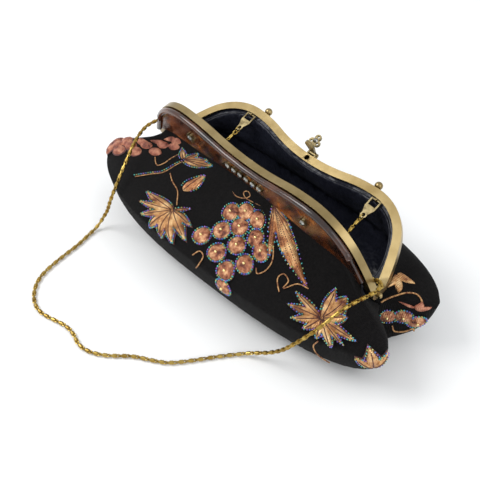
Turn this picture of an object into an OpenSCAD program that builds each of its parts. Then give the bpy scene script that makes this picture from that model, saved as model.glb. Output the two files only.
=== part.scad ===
// Evening bag in embroidered black cloth on a brass clasp frame, standing open with its chain laid out.
// Millimetres, Z up, X along the hinge line, front toward -Y, the floor at Z = 0.

/* [Frame] */
// distance between the two hinge rivets
hinge_span = 200; // [180:2:220]
// width of the brass band, seen face on
band_w = 5.5; // [5:0.1:6]
// depth of one half of the frame
band_d = 5; // [4.8:0.1:5.4]
// thickness of the folded brass
sheet = 0.8; // [0.7:0.05:0.9]
// lean of the front half toward the front
front_tilt = 13.5; // [10:0.5:18]
// lean of the back half toward the back
back_tilt = 63.5; // [60:0.5:68]

/* [Pouch] */
// height of the hinge line above the floor
hinge_z = 48; // [44:1:54]
// height of the widest line of the pouch
belly_z = 37; // [33:1:40]
// reach of the pouch in front of the hinge line
front_depth = 59; // [54:1:64]
// reach of the pouch behind the hinge line
back_depth = 52; // [48:1:58]
// reach of the rounded cheeks past the hinges
end_puff = 36; // [30:1:42]
// thickness of the outer cloth
cloth = 1.2; // [1:0.1:1.3]
// thickness of the satin lining
satin = 0.6; // [0.5:0.1:0.8]
// height of the gathers under the frame
gather_h = 1; // [0:0.1:1.4]

/* [Resin plate] */
// thickness of the tortoiseshell plate
plate_t = 2.4; // [2:0.1:3]
// radius of the plate's rolled upper rim
plate_rim = 2.1; // [1.8:0.1:2.4]
// height of the plate's lower edge at the middle, above the hinge line
plate_low = 29.5; // [27:0.5:32]

/* [Stones] */
// diameter of one stone
stone_d = 4.2; // [3.6:0.1:4.4]
// number of stones in the row
stone_n = 6; // [4:1:7]

/* [Clasp and finials] */
// diameter of the ball finials
ball_d = 5.5; // [5:0.1:6]
// width of the clasp lever at its nose
lever_w = 8; // [7:0.5:9]

/* [Chain] */
// length of one chain link, as near as the route allows
link_pitch = 6; // [5.6:0.2:6.6]
// diameter of the barrel of a link
link_d = 2.5; // [2.2:0.1:2.7]

/* [Embroidery] */
// diameter of one grape
grape_d = 11.5; // [9:0.5:12]
// height of the padded embroidery above the cloth
pad_h = 1.1; // [0.8:0.1:1.3]
// length of the largest vine leaf
leaf_d = 56; // [50:1:58]

/* [Hidden] */
$fn = 48;

brass = [0.75, 0.64, 0.4];
chain_gold = [0.67, 0.52, 0.18];
cloth_black = [0.12, 0.11, 0.11];
satin_blue = [0.13, 0.14, 0.19];
resin = [0.4, 0.2, 0.07];
dark_resin = [0.22, 0.12, 0.08];
glass = [0.86, 0.88, 0.9];
rose = [0.74, 0.47, 0.36];
gold_thread = [0.84, 0.65, 0.45];
copper = [0.72, 0.42, 0.26];

// The band is a chain of tangent arcs: a dip in the middle, a lobe, a tight shoulder and a long arm.
k = hinge_span / 200;
top_h = 43.5 * k;
dip_r = 130 * k;
lobe_r = 100 * k;
shoulder_r = 36 * k;
arm_r = 140 * k;
dip_a = 14;
lobe_a = 14;
shoulder_a = 61;
arm_a = 14;
half_w = band_w / 2;
hinge_x = hinge_span / 2;

dip_end = [dip_r * sin(dip_a), top_h + dip_r * (1 - cos(dip_a))];
lobe_c = dip_end + lobe_r * [sin(dip_a), -cos(dip_a)];
lobe_end = lobe_c + [0, lobe_r];
shoulder_c = lobe_end - [0, shoulder_r];
shoulder_end = shoulder_c + shoulder_r * [cos(90 - shoulder_a), sin(90 - shoulder_a)];
arm_c = shoulder_end - arm_r * [cos(90 - shoulder_a), sin(90 - shoulder_a)];
arm_low = 90 - shoulder_a - arm_a;

dip_l = dip_r * dip_a * PI / 180;
lobe_l = lobe_r * lobe_a * PI / 180;
shoulder_l = shoulder_r * shoulder_a * PI / 180;
arm_l = arm_r * arm_a * PI / 180;
band_l = dip_l + lobe_l + shoulder_l + arm_l;

// a point on a circle
function polar(c, r, a) = c + r * [cos(a), sin(a)];

// the band's line from the middle (0) to the hinge (1), moved out by rho
function band_point(u, rho) =
    let (l = u * band_l)
    l < dip_l ? polar([0, top_h + dip_r], dip_r - rho, -90 + dip_a * l / dip_l) :
    l < dip_l + lobe_l ? polar(lobe_c, lobe_r + rho, 90 + lobe_a * (1 - (l - dip_l) / lobe_l)) :
    l < band_l - arm_l ?
        polar(shoulder_c, shoulder_r + rho, 90 - shoulder_a * (l - dip_l - lobe_l) / shoulder_l) :
    polar(arm_c, arm_r + rho, 90 - shoulder_a - arm_a * (l - band_l + arm_l) / arm_l);

// a point of a frame half's own plane (x, height from the hinge, depth) in the bag's frame
function half_point(side, p) =
    let (tilt = side < 0 ? front_tilt : back_tilt)
    [p[0], side * (p[1] * sin(tilt) + p[2] * cos(tilt)), hinge_z + p[1] * cos(tilt) - p[2] * sin(tilt)];

// The pouch: each column of cloth runs from the band over the belly to the floor and the bottom seam.
seam_gap = 0.2;
seam_x = hinge_x + 2;
belly_x = hinge_x + end_puff;
floor_x = hinge_x + 4;
floor_front = front_depth - 25;
floor_back = back_depth - 16;
floor_y = -4;
plan_n = 2.7;
body_yaw = 1.5;
body_skew = 0.05;
pinch_w = 16;
gather_n = 8;
tuck_w = band_d - 1.2;
tuck_gap = 0.4;
hidden_t = 0.3;

function turned(x, y, z) =
    [x * cos(body_yaw) - y * sin(body_yaw), x * sin(body_yaw) + y * cos(body_yaw), z];

function ring_point(side, a, x_out, x_seam, depth, y_seam, z) =
    let (c = cos(a), s = abs(sin(a)))
    let (q = pow(pow(abs(c), plan_n) + pow(s, plan_n), -1 / plan_n))
    let (off = max(seam_gap, (depth - side * y_seam) * q * s))
    let (pinch = 1 - (1 - x_seam / x_out) * exp(-pow(off / pinch_w, 2)))
    let (x = x_out * q * c * pinch)
    turned(x, y_seam + side * off + body_skew * x * s * s, z);

function ease(x) = let (v = max(0, min(1, x))) v * v * (3 - 2 * v);

// the cloth's edge: tucked into the front half's channel, close under the back half, drawn in at the hinges
function edge_rho(side, u) =
    (side < 0 ? -1.2 - (half_w - 0.6) * ease((u - 0.6) / 0.2) : -half_w - tuck_gap)
        - 6 * pow(max(0, (u - 0.8) / 0.2), 2);

function band_edge(side, a) =
    let (u = abs(1 - a / 90), e = band_point(u, edge_rho(side, u)))
    half_point(side, [a <= 90 ? e[0] : -e[0], e[1], tuck_w]);

// where the front cloth comes out from behind the resin plate, or round the bare arms by the hinges
function plate_exit(a) =
    let (u = abs(1 - a / 90), e = band_point(u, edge_rho(-1, u)), v = ease((u - plate_u) / 0.1))
    let (low = min(e[1] - 0.5, plate_edge(e[0]) - 0.8))
    half_point(-1, [a <= 90 ? e[0] : -e[0], e[1] - (1 - v) * (e[1] - low) - 0.1, tuck_w + 0.2 + 0.8 * v]);

// the way it leaves there: down the plate in the middle, turned outward at the ends
function exit_way(a) =
    let (turn = 60 * ease((abs(1 - a / 90) - 0.6) / 0.25))
    0.3 * [0, cos(turn) * sin(front_tilt) - sin(turn) * cos(front_tilt),
        -cos(turn) * cos(front_tilt) - sin(turn) * sin(front_tilt)];

function belly_point(side, a) =
    ring_point(side, a, belly_x, seam_x, side < 0 ? front_depth : back_depth, 0, belly_z);

function floor_point(side, a) =
    ring_point(side, a, floor_x, floor_x, side < 0 ? floor_front : floor_back, floor_y, 0);

function cubic(t, p, q, r, s) =
    pow(1 - t, 3) * p + 3 * t * pow(1 - t, 2) * q + 3 * t * t * (1 - t) * r + pow(t, 3) * s;

function draped(side, a, t, f, way, rise) =
    let (b = belly_point(side, a), d = norm(f - b))
    let (fold = gather_h * sin(180 * t) * (1 - t) * cos(gather_n * 2 * a) * pow(sin(a), 2))
    cubic(t, f, f + way * d, b + [0, 0, rise * d], b) + fold * [0, side, 0.3];

function upper_point(side, a, t) =
    side > 0 ? draped(1, a, t, band_edge(1, a), [0, 0, -0.55], 0.05 + 0.12 * pow(cos(a), 2)) :
    t < hidden_t ? band_edge(-1, a) + (plate_exit(a) - band_edge(-1, a)) * t / hidden_t :
    draped(-1, a, (t - hidden_t) / (1 - hidden_t), plate_exit(a), exit_way(a), 0.14 + 0.08 * pow(cos(a), 2));

function lower_point(side, a, t) =
    let (b = belly_point(side, a), c = floor_point(side, a), corner = [b[0], b[1], c[2]])
    cubic(t, b, 0.45 * b + 0.55 * corner, 0.45 * c + 0.55 * corner, c);

function base_point(side, a, t) =
    (1 - t) * floor_point(side, a) + t * turned(0.93 * floor_x * cos(a), floor_y + side * seam_gap, 0);

// a runs from 0 at the right hinge to 180 at the left one; t is 0 at the band, 1 at the belly,
// 2 at the floor and 3 at the bottom seam
function panel_point(side, a, t) =
    t <= 1 ? upper_point(side, a, t) :
    t <= 2 ? lower_point(side, a, t - 1) :
    base_point(side, a, t - 2);

// the outward direction of the cloth
function panel_out(side, a, t) =
    let (across = panel_point(side, min(180, a + 0.7), t) - panel_point(side, max(0, a - 0.7), t))
    let (down = panel_point(side, a, min(3, t + 0.02)) - panel_point(side, a, max(0, t - 0.02)))
    let (n = cross(across, down))
    -side * n / norm(n);

function skin_point(side, a, t, inset) =
    let (p = panel_point(side, a, t) - inset * panel_out(side, a, t))
    [p[0], p[1], max(p[2], inset)];

panel_a = [for (i = [0:40]) i * 4.5];
panel_t = [0, 0.15, 0.3, 0.4, 0.54, 0.7, 0.85, 1, 1.3, 1.6, 2, 3];

module shell(side, from, to) {
    nc = len(panel_a);
    nr = len(panel_t);
    skin = [for (inset = [from, to]) for (t = panel_t) for (a = panel_a)
        skin_point(side, a, t, inset)];
    function id(s, r, c) = s * nr * nc + r * nc + c;
    outer = [for (r = [0:nr - 2]) for (c = [0:nc - 2])
        for (f = [[id(0, r, c), id(0, r, c + 1), id(0, r + 1, c)],
            [id(0, r, c + 1), id(0, r + 1, c + 1), id(0, r + 1, c)]]) f];
    inner = [for (r = [0:nr - 2]) for (c = [0:nc - 2])
        for (f = [[id(1, r, c), id(1, r + 1, c), id(1, r, c + 1)],
            [id(1, r, c + 1), id(1, r + 1, c), id(1, r + 1, c + 1)]]) f];
    ends = [for (c = [0:nc - 2])
        for (f = [[id(0, 0, c), id(1, 0, c), id(0, 0, c + 1)],
            [id(0, 0, c + 1), id(1, 0, c), id(1, 0, c + 1)],
            [id(0, nr - 1, c), id(0, nr - 1, c + 1), id(1, nr - 1, c)],
            [id(0, nr - 1, c + 1), id(1, nr - 1, c + 1), id(1, nr - 1, c)]]) f];
    sides = [for (r = [0:nr - 2])
        for (f = [[id(0, r, 0), id(0, r + 1, 0), id(1, r, 0)],
            [id(0, r + 1, 0), id(1, r + 1, 0), id(1, r, 0)],
            [id(0, r, nc - 1), id(1, r, nc - 1), id(0, r + 1, nc - 1)],
            [id(0, r + 1, nc - 1), id(1, r, nc - 1), id(1, r + 1, nc - 1)]]) f];
    all = concat(outer, inner, ends, sides);
    polyhedron(skin, side < 0 ? [for (f = all) [f[0], f[2], f[1]]] : all, convexity = 8);
}

module front_panel() {
    color(cloth_black) shell(-1, 0, cloth);
}

module back_panel() {
    color(cloth_black) shell(1, 0, cloth);
}

lining_gap = 0.4;

module front_lining() {
    color(satin_blue) shell(-1, cloth + lining_gap, cloth + lining_gap + satin);
}

module back_lining() {
    color(satin_blue) shell(1, cloth + lining_gap, cloth + lining_gap + satin);
}

// puts a shape drawn in a half's own plane (x, height, depth) in its place
module on_front() {
    translate([0, 0, hinge_z]) rotate([90 + front_tilt, 0, 0]) children();
}

module on_back() {
    translate([0, 0, hinge_z]) mirror([0, 1, 0]) rotate([90 + back_tilt, 0, 0]) children();
}

module both_ends() {
    children();
    mirror([1, 0, 0]) children();
}

// sweeps a section (out, depth) along the band and stops arm_cut degrees before the hinge
module along_band(arm_cut) {
    translate([0, top_h + dip_r, 0]) rotate([0, 0, 270 - dip_a])
        rotate_extrude(angle = 2 * dip_a) translate([dip_r, 0]) mirror([1, 0]) children();
    both_ends() {
        translate([lobe_c[0], lobe_c[1], 0]) rotate([0, 0, 90])
            rotate_extrude(angle = lobe_a) translate([lobe_r, 0]) children();
        translate([shoulder_c[0], shoulder_c[1], 0]) rotate([0, 0, 90 - shoulder_a])
            rotate_extrude(angle = shoulder_a) translate([shoulder_r, 0]) children();
        translate([arm_c[0], arm_c[1], 0]) rotate([0, 0, arm_low + arm_cut])
            rotate_extrude(angle = arm_a - arm_cut + join_a) translate([arm_r, 0]) children();
    }
}

join_a = 0.1;
ear_r = 4.2;
ear_t = 1.2;
ear_gap = 0.4;
ear_front = hinge_x - 2;
ear_back = ear_front + ear_t + ear_gap;
pin_r = 1.3;
pin_gap = 0.3;
ear_cut = 2.2 / k;
mate_gap = 0.15;

ear_low = mate_gap + 0.45;
ear_high = band_d - 0.3;

module ear(x, bore_r) {
    translate([x, 0, 0]) difference() {
        rotate([90, 0, 90]) linear_extrude(ear_t)
            polygon(concat([[7.5, ear_low], [7.5, ear_high], [0, ear_high]],
                [for (a = [90:6:366]) ear_r * [cos(a), sin(a)]]));
        translate([-1, 0, 0]) rotate([0, 90, 0]) cylinder(r = bore_r, h = ear_t + 2);
    }
}

// a strip of the band between two offsets and two depths, from one end to the other
strip_n = 36;
frame_u = 1 - ear_cut / arm_a * arm_l / band_l;

function strip_point(u, rho) =
    let (p = band_point(abs(u), rho))
    [sign(u) * p[0], p[1]];

module strip(u_end, rho_low, rho_high, w_low, w_high) {
    translate([0, 0, w_low]) linear_extrude(w_high - w_low)
        polygon(concat([for (i = [-strip_n:strip_n]) strip_point(u_end * i / strip_n, rho_high)],
            [for (i = [strip_n:-1:-strip_n]) strip_point(u_end * i / strip_n, rho_low)]));
}

lip = 0.9;

module back_frame() {
    color(brass) on_back() {
        difference() {
            strip(frame_u, -half_w, half_w, mate_gap, band_d);
            strip(frame_u + 0.03, -half_w - 1, half_w - sheet, sheet + mate_gap, band_d - sheet);
            translate([0, top_h, -1]) cylinder(r = stud_r + 0.6, h = 2.05);
        }
        both_ends() ear(ear_back, pin_r);
    }
}

module front_frame() {
    color(brass) on_front() {
        difference() {
            strip(frame_u, -half_w, half_w, mate_gap, band_d);
            strip(frame_u + 0.03, -half_w - 1, half_w - sheet, 1.1, band_d - sheet);
            strip(frame_u + 0.03, lip - half_w, half_w - lip, mate_gap - 1, mate_gap + 0.3);
        }
        both_ends() ear(ear_front, pin_r + pin_gap);
    }
}

module hinge_rivets() {
    color(brass) translate([0, 0, hinge_z]) both_ends() {
        translate([ear_front - 1.8, 0, 0]) rotate([0, 90, 0]) cylinder(r = pin_r, h = 6);
        translate([ear_front - 1.8, 0, 0]) sphere(r = 1.6);
        translate([ear_back + ear_t, 0, 0]) rotate([0, 90, 0]) cylinder(r = 1.9, h = 0.8);
        translate([ear_back + ear_t + 1.6, 0, 0]) sphere(r = 1.7);
    }
}

// The resin plate hangs from the outer flange: two deep lobes and a narrow middle.
plate_u = 0.87;
plate_drop = 6;

function plate_edge(x) =
    plate_low * k - plate_drop * pow(sin(90 * min(1, abs(x) / (70 * k))), 2)
        - 8 * pow(max(0, (abs(x) - 70 * k) / (24 * k)), 2);

plate_tip = band_point(plate_u, -1)[0];
plate_top = [for (i = [-22:22]) let (p = band_point(abs(i) / 22 * plate_u, 0)) [sign(i) * p[0], p[1]]];
plate_bottom = [for (i = [20:-1:-20]) let (x = plate_tip * i / 20) [x, plate_edge(x)]];

module front_plate() {
    color(resin) on_front() translate([0, 0, band_d])
        linear_extrude(plate_t) polygon(concat(plate_top, plate_bottom));
}

module plate_roll() {
    color(dark_resin) on_front() translate([0, 0, band_d])
        along_band((1 - plate_u) * band_l / arm_l * arm_a) translate([0.5, plate_rim])
            polygon([for (i = [0:11]) plate_rim * [cos(30 * i), sin(30 * i)]]);
}

cup_d = stone_d + 1;
cup_h = 1.4;
cup_sink = 0.6;
row_h = 36.5 * k;
row_step = cup_d + 0.6;
lobe_x = 52 * k;
lobe_h = 36 * k;
face_w = band_d + plate_t;

module cup() {
    difference() {
        cylinder(d = cup_d, h = cup_h);
        translate([0, 0, cup_h - cup_sink]) cylinder(d = stone_d + 0.2, h = 1);
    }
}

module stone() {
    translate([0, 0, cup_h - cup_sink]) {
        cylinder(d = stone_d, h = cup_sink);
        translate([0, 0, cup_sink]) cylinder(d1 = stone_d, d2 = 0.55 * stone_d, h = 0.9);
    }
}

module in_row() {
    on_front() for (i = [0:stone_n - 1])
        translate([(i - (stone_n - 1) / 2) * row_step, row_h, face_w]) children();
}

module on_lobes() {
    on_front() both_ends() translate([lobe_x, lobe_h, face_w]) children();
}

module stone_cups() {
    color(brass) in_row() cup();
}

module row_stones() {
    color(glass) in_row() stone();
}

module lobe_cups() {
    color(brass) on_lobes() {
        cup();
        for (a = [0:60:300]) rotate([0, 0, a]) translate([cup_d / 2 + 0.3, 0, 0]) cylinder(r = 0.8, h = cup_h);
    }
}

module lobe_stones() {
    color(glass) on_lobes() stone();
}

// The clasp: a lever on a pin in two cheeks on the back rim, reaching over the front half when it shuts.
rim_h = top_h + half_w;
pivot_h = rim_h + 2.2;
pivot_w = band_d - 2;
pivot_r = 0.8;
cheek_x = 2.6;
cheek_t = 1;
hub_r = 1.5;
seat_gap = 0.06;

module clasp_base() {
    color(brass) on_back() difference() {
        both_ends() {
            translate([cheek_x, rim_h + seat_gap, pivot_w - 1.7])
                cube([cheek_t, pivot_h - rim_h - seat_gap, 3.4]);
            translate([cheek_x, pivot_h, pivot_w]) rotate([0, 90, 0]) cylinder(r = 1.7, h = cheek_t);
        }
        translate([-9, pivot_h, pivot_w]) rotate([0, 90, 0]) cylinder(r = pivot_r, h = 18);
    }
}

module clasp_pivot() {
    color(brass) on_back() translate([-cheek_x - cheek_t - 0.5, pivot_h, pivot_w])
        rotate([0, 90, 0]) cylinder(r = pivot_r, h = 2 * (cheek_x + cheek_t) + 1);
}

lever_h = pivot_h + 0.1;
lever_t = 1.4;
crest_h = rim_h + 8.2;
crest_w = -6;
crest_r = 2.5;
crest_t = 1.6;

module clasp_lever() {
    color(brass) on_back() difference() {
        union() {
            translate([-cheek_x + 0.3, pivot_h, pivot_w]) rotate([0, 90, 0])
                cylinder(r = hub_r, h = 2 * cheek_x - 0.6);
            translate([0, lever_h + lever_t, 0]) rotate([90, 0, 0]) linear_extrude(lever_t)
                polygon([[-cheek_x + 0.3, pivot_w], [-cheek_x + 0.3, 0], [-lever_w / 2, -7],
                    [-lever_w / 4, -11], [0, -13], [lever_w / 4, -11], [lever_w / 2, -7],
                    [cheek_x - 0.3, 0], [cheek_x - 0.3, pivot_w]]);
            for (a = [90, 210, 330]) translate([0, crest_h, crest_w]) rotate([0, 0, a])
                translate([crest_r, 0, 0]) cylinder(r = 2.3, h = crest_t);
            translate([-1.4, lever_h + 0.5, crest_w]) cube([2.8, crest_h - lever_h, crest_t]);
        }
        translate([-9, pivot_h, pivot_w]) rotate([0, 90, 0]) cylinder(r = pivot_r + pin_gap, h = 18);
        for (a = [90, 210, 330]) translate([0, crest_h, crest_w - 1]) rotate([0, 0, a])
            translate([crest_r + 0.5, 0, 0]) cylinder(r = 0.9, h = crest_t + 2);
    }
}

module clasp_stone() {
    color(glass) on_back() translate([0, crest_h, crest_w]) mirror([0, 0, 1])
        cylinder(d1 = 3.6, d2 = 1.8, h = 1.2);
}

stud_r = 1.3;

module clasp_stud() {
    color(brass) on_front() translate([0, top_h, mate_gap + 0.3]) mirror([0, 0, 1]) {
        cylinder(r = stud_r, h = 0.8);
        translate([0, 0, 0.8]) cylinder(r1 = stud_r, r2 = 0.4 * stud_r, h = 0.8);
    }
}

// A finial: a horn fixed behind the back rim, curving up and out to a ball.
horn_r = 1.3;
horn_bend = 8;

module finial() {
    foot = [for (i = [0:1]) band_point(0.34, 0)[i]];
    translate([foot[0], foot[1] - 1.4, band_d + horn_r]) {
        translate([0, horn_bend, 0]) rotate([0, 0, 270]) rotate_extrude(angle = 80)
            translate([horn_bend, 0]) circle(r = horn_r);
        sphere(r = horn_r);
        translate([horn_bend, horn_bend - 0.4, -2]) sphere(d = ball_d);
    }
}

module finial_right() {
    color(brass) on_back() finial();
}

module finial_left() {
    color(brass) on_back() mirror([1, 0, 0]) finial();
}

// Inside the back half: a ring lug on the band, a flat connector hung in it, and a ring to the chain.
lug_u = 0.46;
lug_p = band_point(lug_u, -half_w - 0.9);
lug_w = 1.6;
lug_r = 1.25;
lug_wire = 0.4;
bar_h = lug_p[1] - 0.1;
plate_thick = 0.8;
eye_h = bar_h - 12.2;
ring_r = 2.2;
ring_wire = 0.35;
ring_h = eye_h - ring_r;
jump_r = 1.5;
chain_low = ring_h - ring_r - 1.2;
chain_high = ring_h - ring_r + 0.25;

module lugs() {
    color(brass) on_back() both_ends() translate([lug_p[0], lug_p[1], lug_w])
        rotate([0, 90, 0]) rotate_extrude() translate([lug_r, 0]) circle(r = lug_wire);
}

function eye_arc(r) = [for (a = [30:-15:-210]) [r * cos(a), eye_h - bar_h + r * sin(a)]];

module connector() {
    translate([lug_p[0], bar_h, lug_w - plate_thick / 2]) difference() {
        linear_extrude(plate_thick)
            polygon(concat([[-4, 0.4], [4, 0.4], [4, -6.5]], eye_arc(2.3), [[-4, -6.5]]));
        translate([-2.9, -4.9, -1]) cube([5.8, 4.5, 3]);
        translate([0, eye_h - bar_h, -1]) cylinder(r = 1.25, h = 3);
    }
}

module connector_right() {
    color(brass) on_back() connector();
}

module connector_left() {
    color(brass) on_back() mirror([1, 0, 0]) connector();
}

module end_rings() {
    color(chain_gold) on_back() {
        both_ends() translate([lug_p[0], ring_h, lug_w])
            rotate([0, 90, 0]) rotate_extrude() translate([ring_r, 0]) circle(r = ring_wire);
        translate([-lug_p[0], chain_low + jump_r - 0.7, lug_w])
            rotate_extrude() translate([jump_r, 0]) circle(r = 0.4);
    }
}

// The chain's route: down inside the mouth, out at the left hinge, over the cheek, round on the floor,
// up the front at the right and in again at the right hinge.
floor_z = 1.6;
route_left = [[-62, 12, 54], [-68, 9, 48], [-77, 8, 44], [-86, 6, 46], [-93, 3, 52], [-99, 1, 58],
    [-104, -3, 60], [-105, -10, 60], [-101, -20, 62], [-94, -33, 61], [-88, -44, 56], [-84, -53, 50],
    [-82, -61, 41], [-85, -64, 30], [-90, -64, 19], [-95, -66, 9], [-96, -71, 3]];
route_floor = [[-95, -78], [-91, -91], [-88, -107], [-84, -122], [-79, -131], [-71, -138], [-62, -142],
    [-53, -142], [-44, -139], [-35, -136], [-26, -136], [-17, -138], [-8, -136], [2, -129], [12, -118],
    [22, -111], [31, -104], [39, -92], [46, -80], [53, -69]];
route_right = [[60, -62, 4], [70, -57, 10], [79, -55, 20], [86, -54, 31], [92, -51, 41], [97, -44, 50],
    [100, -35, 57], [102, -25, 60], [104, -14, 60], [105, -6, 60], [103, -1, 60], [98, 1, 57],
    [92, 3, 51], [85, 6, 46], [77, 8, 44], [68, 9, 48], [62, 12, 54]];
function chain_end(s) = half_point(1, [s * lug_p[0], s < 0 ? chain_low : chain_high, lug_w]);
function chain_lead(s) = half_point(1, [s * (lug_p[0] + 0.4), chain_low - 8, lug_w - 0.6]);
route_raw = concat([chain_end(-1), chain_lead(-1)], route_left,
    [for (p = route_floor) [p[0], p[1], floor_z]], route_right, [chain_lead(1), chain_end(1)]);
route_last = len(route_raw) - 1;

function smooth_point(i, t) =
    let (p = route_raw[max(i - 1, 0)], q = route_raw[i], r = route_raw[i + 1])
    let (s = route_raw[min(i + 2, route_last)])
    0.5 * (2 * q + (r - p) * t + (2 * p - 5 * q + 4 * r - s) * t * t + (3 * q - p - 3 * r + s) * t * t * t);

route = concat([for (i = [0:route_last - 1]) for (t = [0:0.25:0.75]) smooth_point(i, t)],
    [route_raw[route_last]]);
route_n = len(route);
route_at = [for (i = 0, c = 0; i < route_n; c = c + (i < route_n - 1 ? norm(route[i + 1] - route[i]) : 0),
    i = i + 1) c];
chain_l = route_at[route_n - 1];
link_n = round(chain_l / link_pitch);
link_l = chain_l / link_n;

function along_route(s) =
    let (i = min(route_n - 2, max([for (j = [0:route_n - 2]) if (route_at[j] <= s + 0.0001) j])))
    let (d = route[i + 1] - route[i])
    route[i] + d * (s - route_at[i]) / norm(d);

module link() {
    translate([2, 0, 0]) rotate([0, 90, 0]) cylinder(d = link_d, h = link_l - 3);
    translate([link_l - 0.25, 0, 0]) rotate_extrude() translate([0.95, 0]) circle(r = 0.4);
    difference() {
        translate([-0.2, -0.28, -0.95]) cube([2.6, 0.56, 1.9]);
        translate([0.7, 1, 0]) rotate([90, 0, 0]) cylinder(r = 0.58, h = 2);
    }
}

module chain() {
    color(chain_gold) for (i = [0:link_n - 1]) {
        p = along_route(i * link_l);
        q = along_route((i + 1) * link_l);
        d = q - p;
        translate(p) rotate([0, -asin(d[2] / norm(d)), atan2(d[1], d[0])]) link();
    }
}

// Embroidery: padded shapes that follow the cloth, placed in millimetres across and down from a point of it.
sink = 0.4;

function per_a(side, spot) =
    norm(panel_point(side, spot[0] + 1, spot[1]) - panel_point(side, spot[0] - 1, spot[1])) / 2;

function per_t(side, spot) =
    norm(panel_point(side, spot[0], spot[1] + 0.03) - panel_point(side, spot[0], spot[1] - 0.03)) / 0.06;

function moved(side, spot, p) =
    [spot[0] + side * p[0] / per_a(side, spot), spot[1] + p[1] / per_t(side, spot)];

function cloth_point(side, spot, p, lift) =
    let (q = moved(side, spot, p))
    skin_point(side, q[0], q[1], -lift);

// a padded shape with its outline given as a list of points round its middle
module pad(side, spot, outline, h) {
    n = len(outline);
    levels = [[0.55, h], [0.9, 0.8 * h], [1, 0.15 * h], [1, -sink], [0.5, -sink]];
    points = concat([cloth_point(side, spot, [0, 0], 0.9 * h)],
        [for (v = levels) for (p = outline) cloth_point(side, spot, v[0] * p, v[1])],
        [cloth_point(side, spot, [0, 0], -sink)]);
    last = len(levels) * n + 1;
    faces = concat([for (i = [0:n - 1]) [0, 1 + (i + 1) % n, 1 + i]],
        [for (v = [0:len(levels) - 2]) for (i = [0:n - 1])
            for (f = [[1 + v * n + i, 1 + v * n + (i + 1) % n, 1 + (v + 1) * n + i],
                [1 + v * n + (i + 1) % n, 1 + (v + 1) * n + (i + 1) % n, 1 + (v + 1) * n + i]]) f],
        [for (i = [0:n - 1]) [last, last - n + i, last - n + (i + 1) % n]]);
    polyhedron(points, [for (f = faces) [f[0], f[2], f[1]]], convexity = 4);
}

// padded discs, each at a spot of its own
module grapes(side, spots, d) {
    for (p = spots) pad(side, p, [for (i = [0:9]) 0.47 * d * [cos(36 * i), sin(36 * i)]], pad_h);
}

// a lobed leaf: five points with notches between them
function leaf(w, l, lean) = [for (i = [0:23])
    let (a = i * 15, r = 0.4 + 0.1 * cos(5 * (a - 90)))
    let (x = w * r * cos(a), y = l * r * sin(a))
    [x * cos(lean) - y * sin(lean), x * sin(lean) + y * cos(lean)]];

module beaded_grapes() {
    color(rose) grapes(-1, [[91, 0.57], [86, 0.52], [80, 0.52], [84.5, 0.61], [89, 0.68], [93, 0.77],
        [77, 0.61], [81.5, 0.7], [85.5, 0.8], [73, 0.65], [76, 0.76], [80, 0.87], [79, 1.05]], grape_d);
}

module rose_grapes() {
    color(rose) grapes(-1, [[139, 0.6], [144, 0.5], [150, 0.58], [145, 0.7], [136, 0.74], [152, 0.76],
        [143, 0.86]], 0.8 * grape_d);
}

module end_grapes() {
    color(rose) grapes(1, [[5.5, 1.2], [11.5, 1.16], [17, 1.22]], 0.85 * grape_d);
}

module leaf_left() {
    color(gold_thread) pad(-1, [106, 0.83], leaf(leaf_d, 0.72 * leaf_d, 0), pad_h);
}

module leaf_right() {
    color(gold_thread) pad(-1, [50, 0.8], leaf(leaf_d, 0.75 * leaf_d, -10), pad_h);
}

module leaf_copper() {
    color(copper) pad(-1, [66, 0.48], leaf(0.28 * leaf_d, 0.62 * leaf_d, -70), pad_h);
}

module leaf_bud() {
    color(copper) pad(-1, [113, 0.56], leaf(0.45 * leaf_d, 0.26 * leaf_d, 0), pad_h);
}

module leaf_plate() {
    color(gold_thread) pad(-1, [125, 0.44], leaf(0.6 * leaf_d, 0.2 * leaf_d, 0), pad_h);
}

module leaf_corner() {
    color(gold_thread) pad(-1, [31, 0.95], leaf(0.22 * leaf_d, 0.36 * leaf_d, 0), pad_h);
}

front_panel();
back_panel();
front_lining();
back_lining();
back_frame();
front_frame();
hinge_rivets();
front_plate();
plate_roll();
stone_cups();
row_stones();
lobe_cups();
lobe_stones();
clasp_base();
clasp_pivot();
clasp_lever();
clasp_stone();
clasp_stud();
finial_left();
finial_right();
lugs();
connector_left();
connector_right();
end_rings();
chain();
beaded_grapes();
rose_grapes();
end_grapes();
leaf_left();
leaf_right();
leaf_copper();
leaf_bud();
leaf_plate();
leaf_corner();
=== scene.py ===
import math
import bpy
import bmesh
from mathutils import Matrix, Vector


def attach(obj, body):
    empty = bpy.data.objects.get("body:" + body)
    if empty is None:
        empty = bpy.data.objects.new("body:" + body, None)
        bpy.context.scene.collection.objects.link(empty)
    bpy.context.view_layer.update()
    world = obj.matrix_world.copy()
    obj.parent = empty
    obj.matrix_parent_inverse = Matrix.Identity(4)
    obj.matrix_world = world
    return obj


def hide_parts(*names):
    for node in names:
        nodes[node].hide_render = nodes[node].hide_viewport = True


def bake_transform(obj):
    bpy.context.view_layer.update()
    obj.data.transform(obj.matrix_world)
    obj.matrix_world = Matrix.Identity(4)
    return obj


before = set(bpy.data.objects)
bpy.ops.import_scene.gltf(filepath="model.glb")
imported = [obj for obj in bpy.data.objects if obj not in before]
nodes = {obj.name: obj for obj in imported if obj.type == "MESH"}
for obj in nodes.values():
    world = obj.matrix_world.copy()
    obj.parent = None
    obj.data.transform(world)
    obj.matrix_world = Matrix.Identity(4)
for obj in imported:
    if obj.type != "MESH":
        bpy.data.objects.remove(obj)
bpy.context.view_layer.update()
scene = bpy.context.scene
scene.view_settings.view_transform = "Standard"

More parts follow.
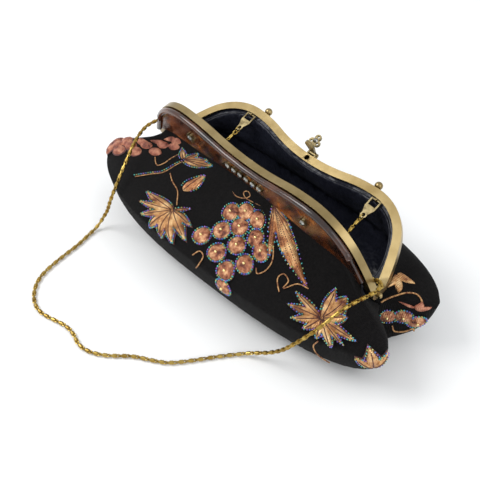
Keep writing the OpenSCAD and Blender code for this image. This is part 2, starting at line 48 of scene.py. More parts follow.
view = {"eye": (0.2767, -0.2597, 0.4016), "aim": (0.0, -0.0192, 0.0286), "lens": 59.6}
cameraData = bpy.data.cameras.new("camera")
cameraData.lens = view["lens"]
cameraData.sensor_width = 36.0
cameraData.clip_start = 0.01
camera = bpy.data.objects.new("camera", cameraData)
scene.collection.objects.link(camera)
camera.location = view["eye"]
camera.rotation_euler = (Vector(view["aim"]) - Vector(view["eye"])).to_track_quat("-Z", "Y").to_euler()
scene.camera = camera
print("camera set")


# the band's line and the cloth's surface, as the part's source has them, in millimetres
hingeZ = 48.0
tilts = {-1: math.radians(13.5), 1: math.radians(63.5)}
halfBand = 2.75
tuckDepth = 3.8
arcs = [(130.0, 14.0, 1), (100.0, 14.0, -1), (36.0, 61.0, -1), (140.0, 14.0, -1)]
arcLengths = [r * math.radians(a) for r, a, bend in arcs]
bandLength = sum(arcLengths)
hiddenT = 0.3
plateU = 0.87
gathers = 16
bag = {"square": 2.7, "pinch": 16.0, "skew": 0.05, "yaw": math.radians(1.5)}
belly = {"xOut": 136, "xSeam": 102, "depth": {-1: 59, 1: 52}, "ySeam": 0, "z": 37}
foot = {"xOut": 104, "xSeam": 104, "depth": {-1: 34, 1: 36}, "ySeam": -4, "z": 0}
tuck = {"front": -1.2, "frontSpare": 0.6, "back": 0.4, "armU": 0.6, "endU": 0.8, "span": 0.2, "endDrop": 6}
plateLine = {"middle": 29.5, "wave": 6, "lobeX": 70, "endDrop": 8, "endX": 94}


def ease(x):
    v = max(0.0, min(1.0, x))
    return v * v * (3 - 2 * v)


def bandPoint(u, rho):
    left = u * bandLength
    x, h, a = 0.0, 43.5, 0.0
    for (r, sweep, bend), length in zip(arcs, arcLengths):
        turn = a + bend * min(max(left, 0.0), length) / r
        x += bend * r * (math.sin(turn) - math.sin(a))
        h -= bend * r * (math.cos(turn) - math.cos(a))
        a = turn
        left -= length
    return x - rho * math.sin(a), h + rho * math.cos(a)


def halfPoint(side, x, h, w):
    c, s = math.cos(tilts[side]), math.sin(tilts[side])
    return Vector((x, side * (h * s + w * c), hingeZ + h * c - w * s))


def ringPoint(side, a, ring):
    c, s = math.cos(math.radians(a)), abs(math.sin(math.radians(a)))
    q = (abs(c) ** bag["square"] + s ** bag["square"]) ** (-1 / bag["square"])
    off = max(0.2, (ring["depth"][side] - side * ring["ySeam"]) * q * s)
    pinch = (1 - ring["xSeam"] / ring["xOut"]) * math.exp(-(off / bag["pinch"]) ** 2)
    x = ring["xOut"] * q * c * (1 - pinch)
    y = ring["ySeam"] + side * off + bag["skew"] * x * s * s
    c, s = math.cos(bag["yaw"]), math.sin(bag["yaw"])
    return Vector((x * c - y * s, x * s + y * c, ring["z"]))


def edgeRho(side, u):
    base = -halfBand - tuck["back"]
    if side < 0:
        base = tuck["front"] - (halfBand - tuck["frontSpare"]) * ease((u - tuck["armU"]) / tuck["span"])
    return base - tuck["endDrop"] * max(0.0, (u - tuck["endU"]) / tuck["span"]) ** 2


def plateEdge(x):
    x = abs(x)
    lobe = plateLine["lobeX"]
    wave = plateLine["wave"] * math.sin(math.radians(90 * min(1.0, x / lobe))) ** 2
    drop = plateLine["endDrop"] * max(0.0, (x - lobe) / (plateLine["endX"] - lobe)) ** 2
    return plateLine["middle"] - wave - drop


def bandEdge(side, a):
    x, h = bandPoint(abs(1 - a / 90), edgeRho(side, abs(1 - a / 90)))
    return halfPoint(side, x if a <= 90 else -x, h, tuckDepth)


def plateExit(a):
    u = abs(1 - a / 90)
    x, h = bandPoint(u, edgeRho(-1, u))
    v = ease((u - plateU) / 0.1)
    low = min(h - 0.5, plateEdge(x) - 0.8)
    return halfPoint(-1, x if a <= 90 else -x, h - (1 - v) * (h - low) - 0.1, tuckDepth + 0.2 + 0.8 * v)


def exitWay(a):
    turn = math.radians(60 * ease((abs(1 - a / 90) - 0.6) / 0.25))
    t = tilts[-1]
    return 0.3 * Vector((0, math.cos(turn) * math.sin(t) - math.sin(turn) * math.cos(t),
                         -math.cos(turn) * math.cos(t) - math.sin(turn) * math.sin(t)))


def cubic(t, p, q, r, s):
    return (1 - t) ** 3 * p + 3 * t * (1 - t) ** 2 * q + 3 * t * t * (1 - t) * r + t ** 3 * s


def around(points, i):
    return points[max(i - 1, 0)], points[i], points[i + 1], points[min(i + 2, len(points) - 1)]


def spline(p, q, r, s, t):
    squared = (2 * p - 5 * q + 4 * r - s) * t * t
    return 0.5 * (2 * q + (r - p) * t + squared + (3 * q - p - 3 * r + s) * t ** 3)


def draped(side, a, t, start, way, rise):
    b = ringPoint(side, a, belly)
    d = (start - b).length
    swell = math.sin(math.pi * t) * (1 - t)
    fold = swell * math.cos(math.radians(gathers * a)) * math.sin(math.radians(a)) ** 2
    return cubic(t, start, start + way * d, b + Vector((0, 0, rise * d)), b) + fold * Vector((0, side, 0.3))


def panelPoint(side, a, t):
    ends = math.cos(math.radians(a)) ** 2
    if t <= 1:
        if side > 0:
            return draped(1, a, t, bandEdge(1, a), Vector((0, 0, -0.55)), 0.05 + 0.12 * ends)
        if t < hiddenT:
            return bandEdge(-1, a).lerp(plateExit(a), t / hiddenT)
        return draped(-1, a, (t - hiddenT) / (1 - hiddenT), plateExit(a), exitWay(a), 0.14 + 0.08 * ends)
    b = ringPoint(side, a, belly)
    c = ringPoint(side, a, foot)
    corner = Vector((b.x, b.y, c.z))
    return cubic(t - 1, b, b.lerp(corner, 0.55), c.lerp(corner, 0.55), c)


def clothAt(side, a, t, lift):
    a = max(0.5, min(179.5, a))
    across = panelPoint(side, min(180, a + 0.7), t) - panelPoint(side, max(0, a - 0.7), t)
    down = panelPoint(side, a, t + 0.02) - panelPoint(side, a, max(0, t - 0.02))
    out = across.cross(down).normalized() * -side
    return (panelPoint(side, a, t) + lift * out) * 0.001


def clothPoint(side, spot, p, lift):
    a0, t0 = spot
    perA = (panelPoint(side, a0 + 1, t0) - panelPoint(side, a0 - 1, t0)).length / 2
    perT = (panelPoint(side, a0, t0 + 0.03) - panelPoint(side, a0, t0 - 0.03)).length / 0.06
    return clothAt(side, a0 + side * p[0] / perA, t0 + p[1] / perT, lift)


def link(obj, body):
    scene.collection.objects.link(obj)
    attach(obj, body)


def meshObject(name, bm, material, smooth=True):
    mesh = bpy.data.meshes.new(name)
    for face in bm.faces:
        face.smooth = smooth
    bm.to_mesh(mesh)
    bm.free()
    mesh.materials.append(material)
    return bpy.data.objects.new(name, mesh)


# shared height patterns, for colours and for bumps
def heightGroup(name, kind, settings):
    group = bpy.data.node_groups.new(name, "ShaderNodeTree")
    group.interface.new_socket(name="Scale", in_out="INPUT", socket_type="NodeSocketFloat")
    group.interface.new_socket(name="Height", in_out="OUTPUT", socket_type="NodeSocketFloat")
    groupIn = group.nodes.new("NodeGroupInput")
    groupOut = group.nodes.new("NodeGroupOutput")
    coord = group.nodes.new("ShaderNodeTexCoord")
    texture = group.nodes.new(kind)
    for key, value in settings.items():
        texture.inputs[key].default_value = value
    group.links.new(coord.outputs["Object"], texture.inputs["Vector"])
    group.links.new(groupIn.outputs["Scale"], texture.inputs["Scale"])
    group.links.new(texture.outputs["Fac"], groupOut.inputs["Height"])
    return group


grainGroup = heightGroup("grain", "ShaderNodeTexNoise", {"Detail": 4.0, "Roughness": 0.6})
threadGroup = heightGroup("threads", "ShaderNodeTexWave",
                          {"Distortion": 2.5, "Detail": 2.0, "Detail Scale": 1.5})


def makeMaterial(name, sockets, stops=None, colourScale=60.0, effect=None, effectScale=300.0, depth=0.0):
    material = bpy.data.materials.new(name)
    material.use_nodes = True
    tree = material.node_tree
    shader = tree.nodes["Principled BSDF"]
    for key, value in sockets.items():
        shader.inputs[key].default_value = value
    if stops:
        grain = tree.nodes.new("ShaderNodeGroup")
        grain.node_tree = grainGroup
        grain.inputs["Scale"].default_value = colourScale
        ramp = tree.nodes.new("ShaderNodeValToRGB")
        elements = ramp.color_ramp.elements
        while len(elements) < len(stops):
            elements.new(0.5)
        for element, (place, colour) in zip(elements, stops):
            element.position = place
            element.color = (*colour, 1.0)
        tree.links.new(grain.outputs["Height"], ramp.inputs["Fac"])
        tree.links.new(ramp.outputs["Color"], shader.inputs["Base Color"])
    if effect:
        height = tree.nodes.new("ShaderNodeGroup")
        height.node_tree = effect
        height.inputs["Scale"].default_value = effectScale
        bump = tree.nodes.new("ShaderNodeBump")
        bump.inputs["Strength"].default_value = 0.6
        bump.inputs["Distance"].default_value = depth
        tree.links.new(height.outputs["Height"], bump.inputs["Height"])
        tree.links.new(bump.outputs["Normal"], shader.inputs["Normal"])
    return material


clothBlack = makeMaterial("clothBlack", {"Roughness": 0.9, "Sheen Weight": 0.02, "Specular IOR Level": 0.12},
                          [(0.3, (0.0025, 0.0022, 0.0022)), (0.75, (0.008, 0.007, 0.007))], 700.0,
                          threadGroup, 420.0, 0.0005)
satinBlue = makeMaterial("satinBlue", {"Roughness": 0.42, "Specular IOR Level": 0.5},
                         [(0.3, (0.008, 0.009, 0.015)), (0.75, (0.020, 0.022, 0.036))], 40.0,
                         grainGroup, 34.0, 0.010)
brass = makeMaterial("brass", {"Metallic": 1.0, "Roughness": 0.3},
                     [(0.3, (0.22, 0.155, 0.062)), (0.65, (0.42, 0.32, 0.155))], 34.0,
                     grainGroup, 1200.0, 0.00002)
# darker brass: a real antique finish on the cups and the clasp, but on the crescent connectors it is painted
# shade and a painted reflection of the dark bag
antiqueBrassAndShade = makeMaterial("antiqueBrassAndShade", {"Metallic": 1.0, "Roughness": 0.36},
                       [(0.35, (0.13, 0.10, 0.05)), (0.65, (0.36, 0.29, 0.15))], 320.0)
chainGold = makeMaterial("chainGold", {"Metallic": 1.0, "Roughness": 0.3},
                         [(0.3, (0.32, 0.20, 0.04)), (0.7, (0.56, 0.40, 0.11))], 160.0)
tortoise = makeMaterial("tortoise", {"Roughness": 0.22, "Coat Weight": 0.25, "Coat Roughness": 0.08},
                        [(0.4, (0.012, 0.004, 0.002)), (0.54, (0.085, 0.020, 0.003)),
                         (0.68, (0.40, 0.115, 0.010))], 60.0)
darkRim = makeMaterial("darkRim", {"Roughness": 0.2, "Coat Weight": 0.35, "Coat Roughness": 0.06},
                       [(0.4, (0.016, 0.007, 0.005)), (0.72, (0.11, 0.030, 0.008))], 70.0)
stoneGlass = makeMaterial("stoneGlass", {"Roughness": 0.08, "Metallic": 0.85, "Coat Weight": 1.0},
                          [(0.35, (0.10, 0.10, 0.09)), (0.65, (0.46, 0.46, 0.42))], 500.0)
roseThread = makeMaterial("roseThread", {"Roughness": 0.42, "Metallic": 0.25},
                          [(0.34, (0.11, 0.022, 0.014)), (0.5, (0.36, 0.115, 0.065)),
                           (0.7, (0.62, 0.29, 0.17))], 230.0,
                          threadGroup, 330.0, 0.0005)
grapeThread = makeMaterial("grapeThread", {"Roughness": 0.38, "Metallic": 0.35},
                           [(0.36, (0.10, 0.020, 0.012)), (0.5, (0.42, 0.15, 0.07)),
                            (0.66, (0.82, 0.47, 0.24))], 260.0,
                           threadGroup, 330.0, 0.0005)
goldThread = makeMaterial("goldThread", {"Roughness": 0.35, "Metallic": 0.45},
                          [(0.3, (0.16, 0.040, 0.018)), (0.48, (0.58, 0.29, 0.11)),
                           (0.66, (0.92, 0.62, 0.30))], 150.0,
                          threadGroup, 300.0, 0.0007)
copperThread = makeMaterial("copperThread", {"Roughness": 0.34, "Metallic": 0.5},
                            [(0.3, (0.13, 0.028, 0.013)), (0.48, (0.52, 0.21, 0.08)),
                             (0.66, (0.92, 0.58, 0.27))], 130.0,
                            threadGroup, 260.0, 0.0010)
maroonThread = makeMaterial("maroonThread", {"Roughness": 0.55, "Sheen Weight": 0.1},
                            [(0.35, (0.035, 0.006, 0.005)), (0.65, (0.13, 0.024, 0.017))], 400.0,
                            threadGroup, 330.0, 0.0004)
beadSockets = {"Roughness": 0.16, "Metallic": 0.5, "Coat Weight": 1.0}
beadColours = {"beadTeal": ((0.01, 0.17, 0.19), (0.06, 0.48, 0.42)),
               "beadViolet": ((0.10, 0.03, 0.24), (0.34, 0.12, 0.46)),
               "beadGreen": ((0.08, 0.20, 0.05), (0.50, 0.46, 0.14)),
               "beadBlue": ((0.015, 0.05, 0.28), (0.08, 0.26, 0.60))}
beadKinds = [makeMaterial(name, beadSockets, [(0.35, dark), (0.65, light)], 300.0)
             for name, (dark, light) in beadColours.items()]
beadGold = makeMaterial("beadGold", {"Base Color": (0.86, 0.66, 0.28, 1.0), "Roughness": 0.2, "Metallic": 0.8,
                                     "Coat Weight": 1.0})
threadFine = makeMaterial("threadFine", {"Roughness": 0.4, "Metallic": 0.35},
                          [(0.35, (0.17, 0.045, 0.020)), (0.6, (0.64, 0.36, 0.15))], 500.0)
print("materials made")


# the chain, along the route that the part's source has
chainFacts = {"pitch": 6.0, "barrel": 2.5, "wire": 0.4, "eye": 0.95, "eyeInset": 0.25, "tongue": 0.56,
              "tongueHigh": 1.9, "collar": 0.12, "collarWide": 0.4, "thick": 0.003, "steps": 4}
lugX, lugH = bandPoint(0.46, -halfBand - 0.9)
ringLow = lugH - 0.1 - 12.2 - 2.2 - 2.2
routeLeft = [(-62, 12, 54), (-68, 9, 48), (-77, 8, 44), (-86, 6, 46), (-93, 3, 52), (-99, 1, 58),
             (-104, -3, 60), (-105, -10, 60), (-101, -20, 62), (-94, -33, 61), (-88, -44, 56), (-84, -53, 50),
             (-82, -61, 41), (-85, -64, 30), (-90, -64, 19), (-95, -66, 9), (-96, -71, 3)]
routeFloor = [(-95, -78), (-91, -91), (-88, -107), (-84, -122), (-79, -131), (-71, -138), (-62, -142),
              (-53, -142), (-44, -139), (-35, -136), (-26, -136), (-17, -138), (-8, -136), (2, -129),
              (12, -118), (22, -111), (31, -104), (39, -92), (46, -80), (53, -69)]
routeRight = [(60, -62, 4), (70, -57, 10), (79, -55, 20), (86, -54, 31), (92, -51, 41), (97, -44, 50),
              (100, -35, 57), (102, -25, 60), (104, -14, 60), (105, -6, 60), (103, -1, 60), (98, 1, 57),
              (92, 3, 51), (85, 6, 46), (77, 8, 44), (68, 9, 48), (62, 12, 54)]
rough = [halfPoint(1, -lugX, ringLow - 1.2, 1.6), halfPoint(1, -lugX - 0.4, ringLow - 9.2, 1.0)]
rough += [Vector(p) for p in routeLeft] + [Vector((x, y, 1.6)) for x, y in routeFloor]
rough += [Vector(p) for p in routeRight]
rough += [halfPoint(1, lugX + 0.4, ringLow - 9.2, 1.0), halfPoint(1, lugX, ringLow + 0.25, 1.6)]
route = []
for i in range(len(rough) - 1):
    for step in range(chainFacts["steps"]):
        route.append(spline(*around(rough, i), step / chainFacts["steps"]))
route.append(rough[-1])
runs = [0.0]
for first, second in zip(route, route[1:]):
    runs.append(runs[-1] + (second - first).length)
linkCount = round(runs[-1] / chainFacts["pitch"])
linkLength = runs[-1] / linkCount


def alongRoute(distance):
    for i in range(len(route) - 1):
        if runs[i + 1] >= distance - 1e-6:
            return route[i].lerp(route[i + 1], (distance - runs[i]) / (runs[i + 1] - runs[i]))
    return route[-1]


def addBarrel(bm, middle, radius, depth):
    place = Matrix.Translation((middle, 0, 0)) @ Matrix.Rotation(math.pi / 2, 4, "Y")
    bmesh.ops.create_cone(bm, cap_ends=True, segments=14, radius1=radius, radius2=radius, depth=depth,
                          matrix=place)


def addBox(bm, centre, size):
    bmesh.ops.create_cube(bm, size=1.0, matrix=Matrix.Translation(centre) @ Matrix.Diagonal((*size, 1.0)))


linkMesh = bpy.data.meshes.new("linkPattern")
pattern = bmesh.new()
barrelMid, barrelRadius = (linkLength + 1) / 2, chainFacts["barrel"] / 2
addBarrel(pattern, barrelMid, barrelRadius, linkLength - 3)
barrelRims = [e for e in pattern.edges if e.calc_face_angle(0) > 1.2]
bmesh.ops.bevel(pattern, geom=barrelRims, offset=0.3, segments=2, affect="EDGES")
for shift in (-0.55, 0.55):
    addBarrel(pattern, barrelMid + shift, barrelRadius + chainFacts["collar"], chainFacts["collarWide"])
addBox(pattern, (1.75, 0, 0), (1.1, chainFacts["tongue"], chainFacts["tongueHigh"]))
for height in (-0.76, 0.76):
    addBox(pattern, (0.65, 0, height), (1.5, chainFacts["tongue"], 0.38))
addBox(pattern, (-0.04, 0, 0), (0.36, chainFacts["tongue"], chainFacts["tongueHigh"]))
eyeMid = linkLength - chainFacts["eyeInset"]
eyeStart = Matrix.Translation((eyeMid + chainFacts["eye"], 0, 0)) @ Matrix.Rotation(math.pi / 2, 4, "X")
wire = bmesh.ops.create_circle(pattern, cap_ends=False, segments=8, radius=chainFacts["wire"],
                               matrix=eyeStart)
wireEdges = list({e for v in wire["verts"] for e in v.link_edges})
bmesh.ops.spin(pattern, geom=wire["verts"] + wireEdges, cent=(eyeMid, 0, 0), axis=(0, 0, 1), dvec=(0, 0, 0),
               angle=2 * math.pi, steps=16, use_merge=True, use_duplicate=False)
bmesh.ops.remove_doubles(pattern, verts=pattern.verts, dist=0.001)
bmesh.ops.recalc_face_normals(pattern, faces=pattern.faces)
bmesh.ops.scale(pattern, vec=(0.001, 0.001, 0.001), verts=pattern.verts)
pattern.to_mesh(linkMesh)
pattern.free()

chainBm = bmesh.new()
for i in range(linkCount):
    p = alongRoute(i * linkLength)
    d = alongRoute((i + 1) * linkLength) - p
    place = Matrix.Translation(p * 0.001) @ Matrix.Rotation(math.atan2(d.y, d.x), 4, "Z")
    place = place @ Matrix.Rotation(-math.asin(d.z / d.length), 4, "Y")
    before = len(chainBm.verts)
    chainBm.from_mesh(linkMesh)
    chainBm.verts.ensure_lookup_table()
    bmesh.ops.transform(chainBm, matrix=place, verts=chainBm.verts[before:])
chain = meshObject("goldChain", chainBm, chainGold, smooth=False)
chain.data.shade_smooth()
chain.data.set_sharp_from_angle(angle=0.7)
link(chain, "pouch")
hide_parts("chain")
print("chain made", linkCount)


# hard pieces keep their CAD solids and get their finish here
finish = {"hinge_rivets": brass, "stone_cups": antiqueBrassAndShade, "lobe_cups": antiqueBrassAndShade, "clasp_base": antiqueBrassAndShade,
          "clasp_pivot": brass, "clasp_lever": antiqueBrassAndShade, "clasp_stud": brass, "finial_left": brass,
          # the crescent connectors take the darker brass as painted shade and a painted reflection of the
          # dark bag, while the balls beside them keep the plain brass
          "finial_right": brass, "lugs": brass, "connector_left": antiqueBrassAndShade, "connector_right": antiqueBrassAndShade,
          "end_rings": chainGold, "row_stones": stoneGlass, "lobe_stones": stoneGlass,
          "clasp_stone": stoneGlass}
for name, material in finish.items():
    nodes[name].data.materials.clear()
    nodes[name].data.materials.append(material)


# soft pieces: the CAD solid's own surface, welded and rounded
creaseAngle = 0.9
sharpAngle = math.radians(50)


def follow(obj, body):
    if body == "bend":
        scene.collection.objects.link(obj)
        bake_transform(obj)
    else:
        link(obj, body)


def welded(node):
    bm = bmesh.new()
    bm.from_mesh(nodes[node].data)
    bmesh.ops.transform(bm, matrix=nodes[node].matrix_world, verts=bm.verts)
    bmesh.ops.remove_doubles(bm, verts=bm.verts, dist=0.000001)
    bmesh.ops.recalc_face_normals(bm, faces=bm.faces)
    return bm


def softPiece(name, node, material, body):
    bm = welded(node)
    crease = bm.edges.layers.float.new("crease_edge")
    for edge in bm.edges:
        if edge.calc_face_angle(0) > creaseAngle:
            edge[crease] = 1.0
    coarse = meshObject(name + "Coarse", bm, material)
    scene.collection.objects.link(coarse)
    rounding = coarse.modifiers.new("rounding", "SUBSURF")
    rounding.levels = 2
    bpy.context.view_layer.update()
    fine = bpy.data.meshes.new_from_object(coarse.evaluated_get(bpy.context.evaluated_depsgraph_get()))
    fine.name = name
    bpy.data.objects.remove(coarse)
    obj = bpy.data.objects.new(name, fine)
    follow(obj, body)
    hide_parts(node)


softPiece("frontCloth", "front_panel", clothBlack, "bend")
softPiece("frontSatin", "front_lining", satinBlue, "bend")
softPiece("backCloth", "back_panel", clothBlack, "pouch")
softPiece("backSatin", "back_lining", satinBlue, "pouch")


# the cloth's turned-in edge, held in each band's channel
hem = {"reach": 0.95, "under": 1.2, "top": 1.4, "inset": 0.6}


def hemPiece(name, side, body):
    bm = bmesh.new()
    for vert in bmesh.ops.create_grid(bm, x_segments=120, y_segments=2, size=1.0)["verts"]:
        u, v = abs(vert.co.x) * hem["reach"], (vert.co.y + 1) / 2
        low = edgeRho(side, u) - hem["under"]
        x, h = bandPoint(u, low + v * (hem["top"] - halfBand - low))
        vert.co = halfPoint(side, math.copysign(x, vert.co.x), h, tuckDepth - hem["inset"]) * 0.001
    obj = meshObject(name, bm, satinBlue)
    follow(obj, body)


hemPiece("backHem", 1, "pouch")
hemPiece("frontHem", -1, "front_half")


# metal and resin with softened edges
def edgedPiece(name, node, material, body, width):
    obj = meshObject(name, welded(node), material)
    follow(obj, body)
    if width:
        edge = obj.modifiers.new("edge", "BEVEL")
        edge.width = width
        edge.segments = 3
        edge.limit_method = "ANGLE"
        edge.angle_limit = sharpAngle
    obj.data.set_sharp_from_angle(angle=sharpAngle)
    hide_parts(node)


edgedPiece("backBand", "back_frame", brass, "pouch", 0.0005)
edgedPiece("frontBand", "front_frame", brass, "front_half", 0.0002)
edgedPiece("resinPlate", "front_plate", tortoise, "front_half", 0.0004)
edgedPiece("plateRoll", "plate_roll", darkRim, "front_half", 0)
print("cloth, bands and plate made")


# embroidery: domes for the grapes and fans of pointed petals for the leaves, raised from flat grids
sunk = 0.15


def outward(bm, side, spot):
    bm.normal_update()
    bm.faces.ensure_lookup_table()
    out = clothPoint(side, spot, (0, 0), 1) - clothPoint(side, spot, (0, 0), 0)
    if sum(face.normal.dot(out) * face.calc_area() for face in bm.faces) < 0:
        bmesh.ops.reverse_faces(bm, faces=bm.faces)


def domePiece(name, side, spots, radius, rise, material):
    bm = bmesh.new()
    for spot in spots:
        for vert in bmesh.ops.create_grid(bm, x_segments=8, y_segments=8, size=1.0)["verts"]:
            x, y = vert.co.x, vert.co.y
            p = (radius * x * math.sqrt(1 - y * y / 2), radius * y * math.sqrt(1 - x * x / 2))
            full = max(0.0, 1 - (p[0] ** 2 + p[1] ** 2) / radius ** 2)
            vert.co = clothPoint(side, spot, p, rise * math.sqrt(full) - sunk)
    outward(bm, side, spots[0])
    obj = meshObject(name, bm, material)
    follow(obj, "bend" if side < 0 else "pouch")
    return obj


def petalPoint(tip, wide, u, s):
    length = math.hypot(*tip)
    half = wide * length * max(0.0, math.sin(math.pi * u ** 0.72)) ** 0.85
    return tip[0] * u - tip[1] / length * half * s, tip[1] * u + tip[0] / length * half * s


def fanPiece(name, side, base, tips, wide, rise, material):
    bm = bmesh.new()
    for tip in tips:
        for vert in bmesh.ops.create_grid(bm, x_segments=12, y_segments=6, size=1.0)["verts"]:
            u, s = min(1.0, max(0.0, (vert.co.x + 1) / 2)), vert.co.y
            full = math.sqrt(max(0.0, 1 - s * s)) * max(0.0, math.sin(math.pi * u)) ** 0.4
            vert.co = clothPoint(side, base, petalPoint(tip, wide, u, s), rise * full - sunk)
    bmesh.ops.remove_doubles(bm, verts=bm.verts, dist=0.000001)
    outward(bm, side, base)
    obj = meshObject(name, bm, material)
    follow(obj, "bend" if side < 0 else "pouch")
    return obj


def spaced(points, gap):
    out, left = [], 0.0
    for (x0, y0), (x1, y1) in zip(points, points[1:]):
        length = math.hypot(x1 - x0, y1 - y0)
        while left < length:
            out.append((x0 + (x1 - x0) * left / length, y0 + (y1 - y0) * left / length))
            left += gap
        left -= length
    return out


def beadPiece(name, side, places, radius, materials):
    bm = bmesh.new()
    for i, place in enumerate(places):
        made = bmesh.ops.create_icosphere(bm, subdivisions=2, radius=radius * 0.001,
                                          matrix=Matrix.Translation(place))
        for face in {f for v in made["verts"] for f in v.link_faces}:
            face.material_index = (i * 7 // 3) % len(materials)
    obj = meshObject(name, bm, materials[0])
    for material in materials[1:]:
        obj.data.materials.append(material)
    follow(obj, "bend" if side < 0 else "pouch")


def ringBeads(side, spots, radius, count, lift):
    turns = [2 * math.pi * i / count for i in range(count)]
    ring = [(radius * math.cos(a), radius * math.sin(a)) for a in turns]
    return [clothPoint(side, spot, p, lift) for spot in spots for p in ring]


def fanBeads(side, base, tips, wide, gap, lift):
    places = []
    for tip in tips:
        for s in (-1.08, 1.08):
            edge = [petalPoint(tip, wide, 0.15 + 0.85 * i / 20, s) for i in range(21)]
            places += [clothPoint(side, base, p, lift) for p in spaced(edge, gap)]
    return places


edgeRise = 0.5
beads = {"off": 0.2, "lift": 0.35, "radius": 0.7}
bunch = {"spots": [(91, 0.57), (86, 0.52), (80, 0.52), (84.5, 0.61), (89, 0.68), (93, 0.77), (77, 0.61),
                   (81.5, 0.7), (85.5, 0.8), (73, 0.65), (76, 0.76), (80, 0.87), (79, 1.05)],
         "radius": 6.0, "rise": 2.2, "edge": 0.9, "beadCount": 24, "centre": 1.1, "centreLift": 2.0}
domePiece("bunchEdge", -1, bunch["spots"], bunch["radius"] + bunch["edge"], edgeRise, maroonThread)
grapes = domePiece("grapeBunch", -1, bunch["spots"], bunch["radius"], bunch["rise"], grapeThread)
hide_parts("beaded_grapes")
bunchRings = ringBeads(-1, bunch["spots"], bunch["radius"] + beads["off"], bunch["beadCount"], beads["lift"])
beadPiece("bunchBeads", -1, bunchRings, beads["radius"], beadKinds)
bunchMiddles = [clothPoint(-1, spot, (0, 0), bunch["centreLift"]) for spot in bunch["spots"]]
beadPiece("bunchCentres", -1, bunchMiddles, bunch["centre"], [beadGold])

cluster = {"spots": [(142, 0.42), (147, 0.44), (143, 0.53), (149, 0.54), (146, 0.63), (152, 0.64),
                     (148, 0.73), (154, 0.76), (150, 0.84), (156, 0.9), (153, 0.98), (158, 1.05),
                     (139, 0.47), (139, 0.6), (142, 0.71), (145, 0.82), (149, 0.94)],
           "radius": 5.0, "rise": 1.9, "edge": 0.8}
domePiece("clusterEdge", -1, cluster["spots"], cluster["radius"] + cluster["edge"], edgeRise, maroonThread)
roses = domePiece("roseCluster", -1, cluster["spots"], cluster["radius"], cluster["rise"], roseThread)
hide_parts("rose_grapes")

ends = {"spots": [(5.5, 1.2), (11.5, 1.16), (17, 1.22)], "radius": 5.6, "rise": 1.9, "beadCount": 22,
        "centre": 1.0, "centreLift": 1.8}
endFruit = domePiece("endGrapes", 1, ends["spots"], ends["radius"], ends["rise"], grapeThread)
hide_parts("end_grapes")
endRings = ringBeads(1, ends["spots"], ends["radius"] + beads["off"], ends["beadCount"], beads["lift"])
beadPiece("endBeads", 1, endRings, beads["radius"], beadKinds)
endMiddles = [clothPoint(1, spot, (0, 0), ends["centreLift"]) for spot in ends["spots"]]
beadPiece("endCentres", 1, endMiddles, ends["centre"], [beadGold])

leafFacts = {"rise": 2.3, "edgeReach": 1.05, "edgeWide": 1.35, "edgeRise": 0.8, "beadWide": 1.1,
             "beadGap": 1.8, "beadLift": 0.8, "bead": 0.6, "rib": 0.36}
leaves = {"leafLeft": {"node": "leaf_left", "base": (107, 0.76), "wide": 0.135, "thread": goldThread,
                       "slot": "gold_thread",
                       "tips": [(-26, 3), (-21, 12), (-12, 21), (-1, 27), (10, 28), (19, 24), (25, 12),
                                (20, 1), (8, -8)]},
          "leafRight": {"node": "leaf_right", "base": (49, 0.8), "wide": 0.14, "thread": goldThread,
                        "slot": "gold_thread",
                        "tips": [(13.8, -21), (23.7, -19), (19, -7), (22, 7), (13, 13), (5.9, 20.5), (-3, 17),
                                 (-11, 14), (-18, 10), (-21, 2), (-18, -7)]},
          "leafCopper": {"node": "leaf_copper", "base": (75, 0.34), "wide": 0.12, "thread": copperThread,
                         "slot": "copper_thread",
                         "tips": [(2, 15), (8, 23), (15, 19), (21, 22), (30, 25), (22, 13), (16, 5)]},
          "leafBud": {"node": "leaf_bud", "base": (112, 0.64), "wide": 0.26, "thread": copperThread,
                      "slot": "copper_thread", "tips": [(-1.9, -20)]},
          "leafPlate": {"node": "leaf_plate", "base": (128, 0.5), "wide": 0.17, "thread": goldThread,
                        "slot": "gold_thread", "tips": [(3, -15), (15, -14), (22, -12), (16, -5), (-12, -8)]},
          "leafCorner": {"node": "leaf_corner", "base": (30, 1.2), "wide": 0.2, "thread": goldThread,
                         "slot": "gold_thread", "tips": [(-4, -18), (7, -14), (-10, -9)]}}
for name, leaf in leaves.items():
    base, tips, wide = leaf["base"], leaf["tips"], leaf["wide"]
    reach = [(x * leafFacts["edgeReach"], y * leafFacts["edgeReach"]) for x, y in tips]
    fanPiece(name + "Edge", -1, base, reach, wide * leafFacts["edgeWide"], leafFacts["edgeRise"],
             maroonThread)
    face = fanPiece(name, -1, base, tips, wide, leafFacts["rise"], leaf["thread"])
    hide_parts(leaf["node"])
    rim = fanBeads(-1, base, tips, wide * leafFacts["beadWide"], leafFacts["beadGap"], leafFacts["beadLift"])
    beadPiece(name + "Beads", -1, rim, leafFacts["bead"], beadKinds)
    midribs = []
    for x, y in tips:
        for u in range(6, 84, 3):
            lift = leafFacts["rise"] * math.sin(math.pi * u / 100) ** 0.4 - sunk
            midribs.append(clothPoint(-1, base, (x * u / 100, y * u / 100), lift))
    beadPiece(name + "Midribs", -1, midribs, leafFacts["rib"], [maroonThread])
fanPiece("endLeaf", 1, (20, 0.3), [(-11, 4), (-8, 12), (6, 12)], 0.2, 1.5, goldThread)
fanPiece("endLeafLow", 1, (14, 1.0), [(9, -9), (13, -3), (-8, -8)], 0.2, 1.5, roseThread)


# couched threads, each through a few points of the cloth
threadSteps = 60


def threadPlaces(side, points, gap, lift):
    places = []
    for i in range(len(points) - 1):
        for step in range(threadSteps):
            a, t = [spline(*four, step / threadSteps) for four in zip(*around(points, i))]
            here = clothAt(side, a, t, lift)
            if not places or (here - places[-1]).length > gap * 0.001:
                places.append(here)
    return places


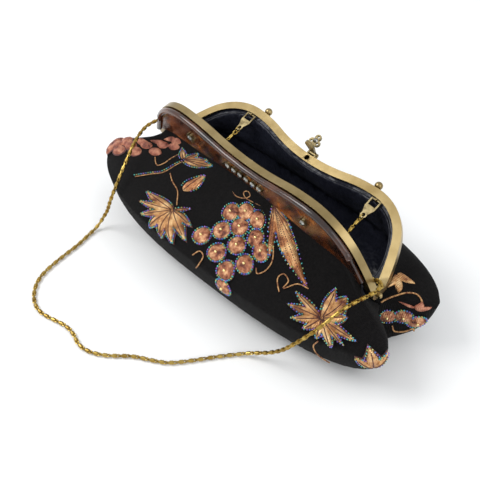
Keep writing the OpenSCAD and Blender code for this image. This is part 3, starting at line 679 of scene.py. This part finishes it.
threads = {"stemLong": [(127, 0.78), (126, 0.7), (125, 0.64), (127, 0.54), (126, 0.48), (118, 0.42)],
           "stemLeaf": [(123, 0.62), (119, 0.64), (113, 0.66), (108, 0.72)],
           "tendrilPlate": [(135, 0.62), (130, 0.64), (130, 0.6), (132, 0.54), (133, 0.46)],
           "tendrilTop": [(100, 0.41), (98, 0.46), (94, 0.48), (90, 0.46), (88, 0.42), (90, 0.4),
                          (91.5, 0.43), (89, 0.45), (83, 0.44), (78, 0.42)],
           "tendrilMiddle": [(71, 0.56), (69, 0.6), (68, 0.66), (69, 0.72), (71, 0.76), (72, 0.74)],
           "tendrilRight": [(63, 0.78), (64.5, 0.72), (63, 0.68), (61, 0.7), (62, 0.75), (58, 0.69),
                            (54, 0.68)],
           "tendrilLow": [(91, 0.92), (90, 0.86), (88, 0.88), (88, 0.98), (89, 1.06)],
           "tendrilUnder": [(50, 1.0), (51, 1.12), (49, 1.28), (45, 1.4)]}
for name, points in threads.items():
    beadPiece(name, -1, threadPlaces(-1, points, 0.6, 0.45), 0.45, [threadFine])
besideStem = [(a + 0.9, t) for a, t in threads["stemLong"]]
beadPiece("stemBeads", -1, threadPlaces(-1, besideStem, 1.6, 0.5), 0.6, beadKinds)
endThreads = {"endTendril": [(2, 0.82), (8, 0.64), (15, 0.56), (20, 0.62), (19, 0.76), (15, 1.0)],
              "endTendrilLow": [(9, 1.36), (11, 1.46), (15, 1.44), (17, 1.36), (19, 1.42)]}
for name, points in endThreads.items():
    beadPiece(name, 1, threadPlaces(1, points, 0.8, 0.2), 0.6, [threadFine])
print("embroidery made")


# stage
floorBm = bmesh.new()
bmesh.ops.create_grid(floorBm, x_segments=1, y_segments=1, size=3.0)
floorMaterial = makeMaterial("floorPale", {"Base Color": (0.9, 0.9, 0.89, 1.0), "Roughness": 0.7,
                                           "Specular IOR Level": 0.2})
floor = meshObject("floor", floorBm, floorMaterial, smooth=False)
scene.collection.objects.link(floor)
world = bpy.data.worlds.new("studio")
world.use_nodes = True
world.node_tree.nodes["Background"].inputs["Color"].default_value = (0.95, 0.97, 1.0, 1.0)
world.node_tree.nodes["Background"].inputs["Strength"].default_value = 0.85
scene.world = world
lamps = {"key": ((-0.55, -0.55, 0.95), 0.6, 7.5), "fill": ((0.9, 0.1, 0.7), 0.8, 3.0)}
for name, (place, size, power) in lamps.items():
    lampData = bpy.data.lights.new(name, "AREA")
    lampData.size = size
    lampData.energy = power
    lamp = bpy.data.objects.new(name, lampData)
    scene.collection.objects.link(lamp)
    lamp.location = place
    lamp.rotation_euler = (Vector((0, 0, 0.03)) - Vector(place)).to_track_quat("-Z", "Y").to_euler()
print("stage made")
